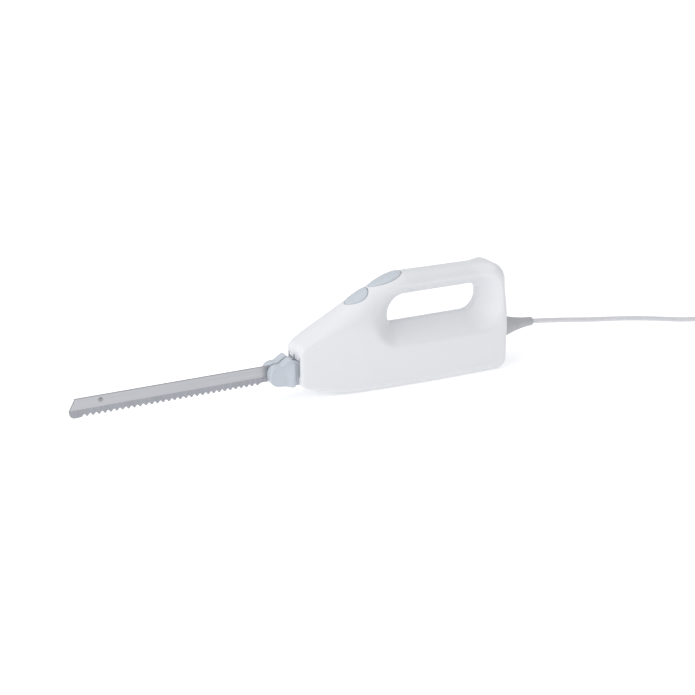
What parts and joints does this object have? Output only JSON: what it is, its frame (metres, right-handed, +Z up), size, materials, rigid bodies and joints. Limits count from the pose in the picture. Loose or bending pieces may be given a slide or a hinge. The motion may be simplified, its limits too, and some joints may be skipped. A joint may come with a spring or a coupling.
{
  "type": "electric uncapping knife",
  "caption": "Loop-handled electric knife with two long serrated blades that slide in opposite directions, two ridge buttons and a mains cord.",
  "frame": {"origin": "middle of the housing's flat base, on the plane where the two shells meet", "axes": "+Z up, square to the base; the blades point along -X and the cord leaves along +X; +Y is the knife's right side as held"},
  "size_m": [0.8658, 0.0892, 0.1115],
  "materials": {
    "housing_white": "semi-gloss moulded shell",
    "button_grey": "fine satin",
    "ferrule_grey": "satin",
    "blade_steel": "brushed and ground",
    "steel": "turned",
    "drive_grey": "moulded",
    "wheel_ivory": "acetal",
    "brass": "turned",
    "core_steel": "stacked sheet",
    "copper": "varnished wire",
    "carbon": "carbon",
    "bronze": "sintered",
    "black_plastic": "moulded",
    "relief_grey": "matt",
    "cord_grey": "smooth sheath",
    "lead_brown": "insulated wire"
  },
  "bodies": {
    "housing": {"left_housing": "housing_white", "right_housing": "housing_white", "housing_screws": "steel", "drive_guide": "drive_grey", "gear_frame": "drive_grey", "wheel_axle": "steel", "field_core": "core_steel", "field_coils": "copper", "front_bearing": "bronze", "middle_bearing": "bronze", "rear_bearing": "bronze", "rear_bracket": "drive_grey", "motor_bolts": "steel", "left_brush_holder": "brass", "right_brush_holder": "brass", "left_brush": "carbon", "right_brush": "carbon", "left_brush_spring": "steel", "right_brush_spring": "steel", "switch_body": "black_plastic", "strain_relief": "relief_grey", "cord_clamp": "black_plastic", "clamp_base": "black_plastic", "clamp_screws": "steel", "terminal_block": "wheel_ivory", "noise_capacitor": "wheel_ivory", "internal_leads": "lead_brown", "power_cord": "cord_grey", "cord_coil": "cord_grey", "cord_tie": "black_plastic", "cord_tail": "cord_grey", "plug_body": "cord_grey", "plug_pins": "steel"},
    "left_drive": {"left_drive_bar": "drive_grey", "left_clip": "steel", "left_ferrule": "ferrule_grey", "left_blade": "blade_steel", "tip_rivet": "blade_steel"},
    "right_drive": {"right_drive_bar": "drive_grey", "right_clip": "steel", "right_ferrule": "ferrule_grey", "right_blade": "blade_steel"},
    "wheel": {"worm_wheel": "wheel_ivory", "left_eccentric": "steel", "right_eccentric": "steel"},
    "rotor": {"motor_shaft": "steel", "worm": "brass", "armature_core": "core_steel", "armature_windings": "copper", "commutator": "copper", "cooling_fan": "black_plastic"},
    "release": {"release_button": "button_grey", "release_spring": "steel", "release_pusher": "drive_grey"},
    "on_off": {"on_off_button": "button_grey", "on_off_spring": "steel"},
    "plunger": {"switch_plunger": "wheel_ivory"}
  },
  "joints": [
    {"name": "left_stroke", "type": "slide", "parent": "housing", "child": "left_drive", "axis": [-1, 0, 0], "range_m": [-0.003, 0.003]},
    {"name": "right_stroke", "type": "slide", "parent": "housing", "child": "right_drive", "axis": [-1, 0, 0], "range_m": [-0.003, 0.003]},
    {"name": "motor_spin", "type": "hinge", "parent": "housing", "child": "rotor", "pos_m": [0, 0, 0.024], "axis": [1, 0, 0], "continuous": true},
    {"name": "wheel_spin", "type": "hinge", "parent": "housing", "child": "wheel", "pos_m": [-0.066, 0, 0.0416], "axis": [0, 1, 0], "continuous": true},
    {"name": "release_press", "type": "slide", "parent": "housing", "child": "release", "axis": [0.5, 0, -0.866], "range_m": [0, 0.0025], "stiffness_N_per_m": 400},
    {"name": "on_off_press", "type": "slide", "parent": "housing", "child": "on_off", "axis": [0.2924, 0, -0.9563], "range_m": [0, 0.0025], "stiffness_N_per_m": 400},
    {"name": "plunger_press", "type": "slide", "parent": "housing", "child": "plunger", "axis": [0.2924, 0, -0.9563], "range_m": [0, 0.0025]}
  ],
  "couplings": [
    {"joint": "right_stroke", "follows": "left_stroke", "ratio": -1},
    {"joint": "wheel_spin", "follows": "motor_spin", "ratio": 0.041667},
    {"joint": "plunger_press", "follows": "on_off_press", "ratio": 1}
  ]
}
